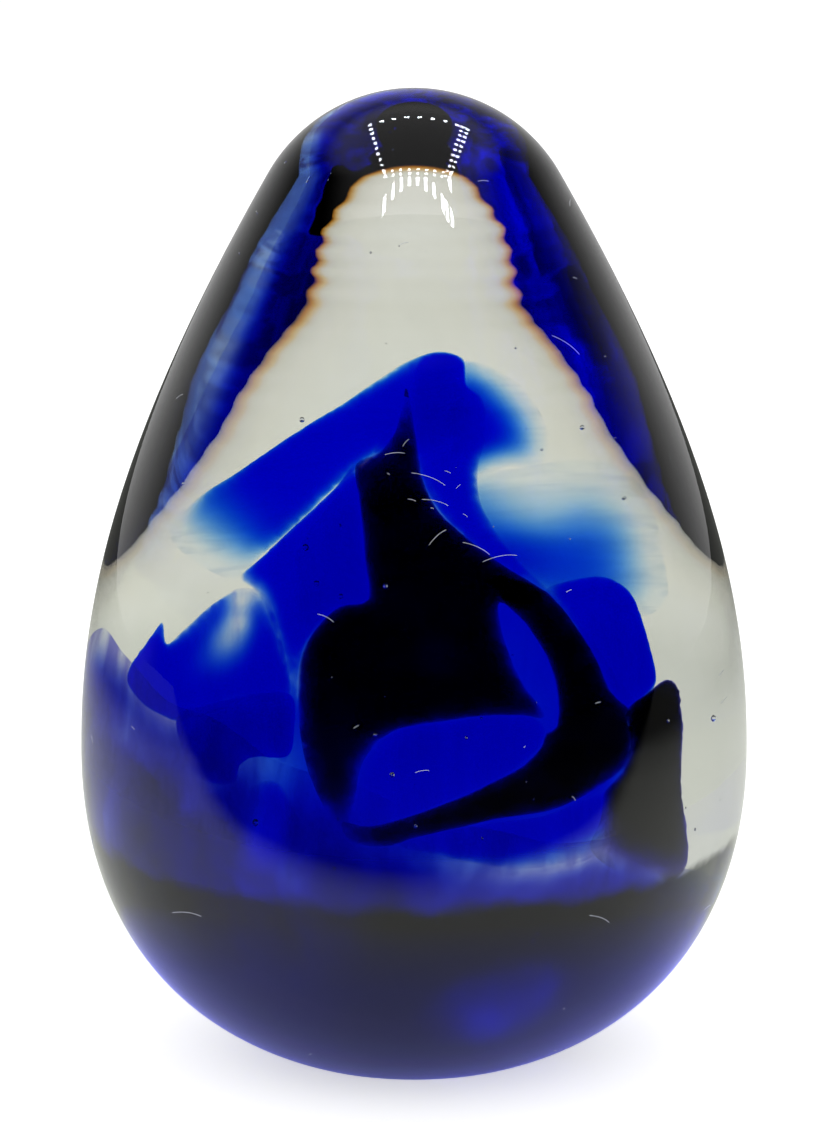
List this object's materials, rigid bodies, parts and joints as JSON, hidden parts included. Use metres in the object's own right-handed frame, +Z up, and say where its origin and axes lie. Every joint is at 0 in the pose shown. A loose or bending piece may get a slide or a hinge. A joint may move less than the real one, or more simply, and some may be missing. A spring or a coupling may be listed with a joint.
{
  "type": "paperweight",
  "caption": "Solid glass egg paperweight, ground flat at the foot, with folded cobalt blue veils inside thick clear glass.",
  "frame": {"origin": "centre of the ground foot, on the surface the egg stands on", "axes": "+Z up the egg's own axis to its crown; -Y is the side the folds face; +X is to the right seen from there"},
  "size_m": [0.088, 0.088, 0.1265],
  "materials": {
    "casing_glass": "fire polished, thick, colourless",
    "core_glass": "colourless, fused inside the casing",
    "cup_glass": "thin dark cobalt skin",
    "veil_glass": "cobalt sheet, paler where it thins",
    "heart_glass": "cobalt so thick it is nearly black"
  },
  "bodies": {
    "root": {"clear_casing": "casing_glass", "clear_core": "core_glass", "cobalt_cup": "cup_glass", "crest_fold": "veil_glass", "crest_right_lobe": "veil_glass", "right_wing": "veil_glass", "right_shoulder_lobe": "veil_glass", "diagonal_fold": "veil_glass", "mid_left_panel": "veil_glass", "left_pocket_lobe": "veil_glass", "lower_left_fold": "veil_glass", "lower_left_petal": "veil_glass", "middle_bowl": "veil_glass", "lower_swoosh": "veil_glass", "right_lower_veil": "veil_glass", "dark_heart": "heart_glass"}
  },
  "joints": []
}
